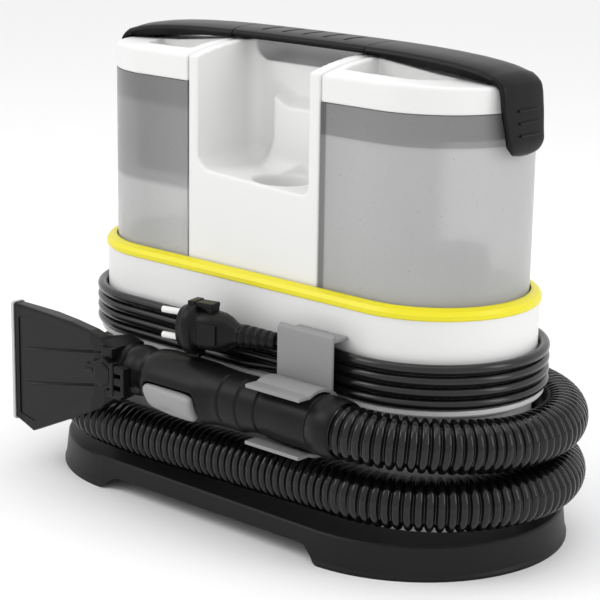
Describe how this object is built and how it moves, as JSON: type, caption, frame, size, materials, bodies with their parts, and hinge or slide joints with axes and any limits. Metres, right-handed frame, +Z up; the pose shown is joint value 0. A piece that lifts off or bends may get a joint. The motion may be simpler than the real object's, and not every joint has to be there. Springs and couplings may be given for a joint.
{
  "type": "portable carpet and upholstery cleaner",
  "caption": "Compact spray-extraction cleaner with twin lift-off tanks, arched handle, wound cord and hose, and a hand tool with a fan nozzle.",
  "frame": {"origin": "on the floor under the middle of the base", "axes": "+X along the length to the right seen from the front, +Y to the back, +Z up"},
  "size_m": [0.456, 0.246, 0.3498],
  "materials": {
    "black_plastic": "satin moulded",
    "white_plastic": "fine-grained",
    "yellow_plastic": "satin",
    "grey_plastic": "satin",
    "smoke_plastic": "frosted",
    "steel": "bright",
    "black_rubber": "soft",
    "cord_black": "glossy",
    "copper_winding": "varnished",
    "float_orange": "satin",
    "clear_tube": "smooth"
  },
  "bodies": {
    "machine": {"base_plate": "black_plastic", "rubber_feet": "black_rubber", "base_screws": "steel", "lower_housing": "white_plastic", "tank_deck": "black_plastic", "trim_ring": "yellow_plastic", "column_shell": "white_plastic", "recess_tray": "white_plastic", "grip_bar": "black_plastic", "clip_bracket": "grey_plastic", "motor_can": "steel", "motor_mount": "black_rubber", "bearing_low": "steel", "bearing_top": "steel", "fan_shroud": "black_plastic", "air_duct": "black_plastic", "suction_pipe": "black_plastic", "pump_body": "steel", "water_tube": "clear_tube", "valve_socket": "black_plastic", "switch_bezel": "black_plastic", "cord_gland": "black_plastic", "hose_port": "black_plastic", "cord_coil": "cord_black", "cord_tail": "cord_black", "cord_lead": "cord_black", "plug_body": "black_plastic", "plug_pins": "steel", "hose": "cord_black", "tool_body": "black_plastic", "tool_cuff": "black_plastic", "spray_valve": "grey_plastic"},
    "fan_rotor": {"motor_shaft": "steel", "armature": "copper_winding", "fan_impeller": "steel"},
    "power_rocker": {"switch_rocker": "black_plastic"},
    "fresh_tank": {"fresh_shell": "smoke_plastic", "fresh_lid": "white_plastic", "fresh_seal": "black_rubber", "fresh_strainer": "grey_plastic", "fresh_valve": "black_rubber", "fresh_pin": "steel"},
    "fresh_handle": {"fresh_arm": "black_plastic"},
    "dirty_tank": {"dirty_shell": "smoke_plastic", "dirty_lid": "white_plastic", "dirty_seal": "black_rubber", "dirty_separator": "grey_plastic", "dirty_pipe": "grey_plastic", "dirty_pin": "steel"},
    "dirty_handle": {"dirty_arm": "black_plastic"},
    "float_valve": {"dirty_float": "float_orange"},
    "trigger": {"spray_button": "grey_plastic"},
    "nozzle": {"nozzle_body": "black_plastic", "nozzle_lip": "grey_plastic", "nozzle_knob": "black_plastic", "spray_jet": "black_plastic"}
  },
  "joints": [
    {"name": "fan_spin", "type": "hinge", "parent": "machine", "child": "fan_rotor", "pos_m": [-0.055, 0, 0.09], "axis": [0, 0, 1], "continuous": true},
    {"name": "power_rock", "type": "hinge", "parent": "machine", "child": "power_rocker", "pos_m": [0, 0.066, 0.163], "axis": [1, 0, 0], "range_deg": [-6, 6]},
    {"name": "fresh_lift", "type": "slide", "parent": "machine", "child": "fresh_tank", "axis": [0, 0, 1], "range_m": [0, 0.2]},
    {"name": "fresh_arm_hinge", "type": "hinge", "parent": "fresh_tank", "child": "fresh_handle", "pos_m": [0.0695, 0, 0.34595], "axis": [0, -1, 0], "range_deg": [0, 60]},
    {"name": "dirty_lift", "type": "slide", "parent": "machine", "child": "dirty_tank", "axis": [0, 0, 1], "range_m": [0, 0.2]},
    {"name": "dirty_arm_hinge", "type": "hinge", "parent": "dirty_tank", "child": "dirty_handle", "pos_m": [-0.0695, 0, 0.34595], "axis": [0, 1, 0], "range_deg": [0, 60]},
    {"name": "float_rise", "type": "slide", "parent": "dirty_tank", "child": "float_valve", "axis": [0, 0, 1], "range_m": [0, 0.03]},
    {"name": "spray_press", "type": "slide", "parent": "machine", "child": "trigger", "axis": [0, 0.891, 0.454], "range_m": [0, 0.003], "stiffness_N_per_m": 600, "springref_m": -0.001},
    {"name": "nozzle_pull", "type": "slide", "parent": "machine", "child": "nozzle", "axis": [-1, 0, 0], "range_m": [0, 0.06]}
  ]
}
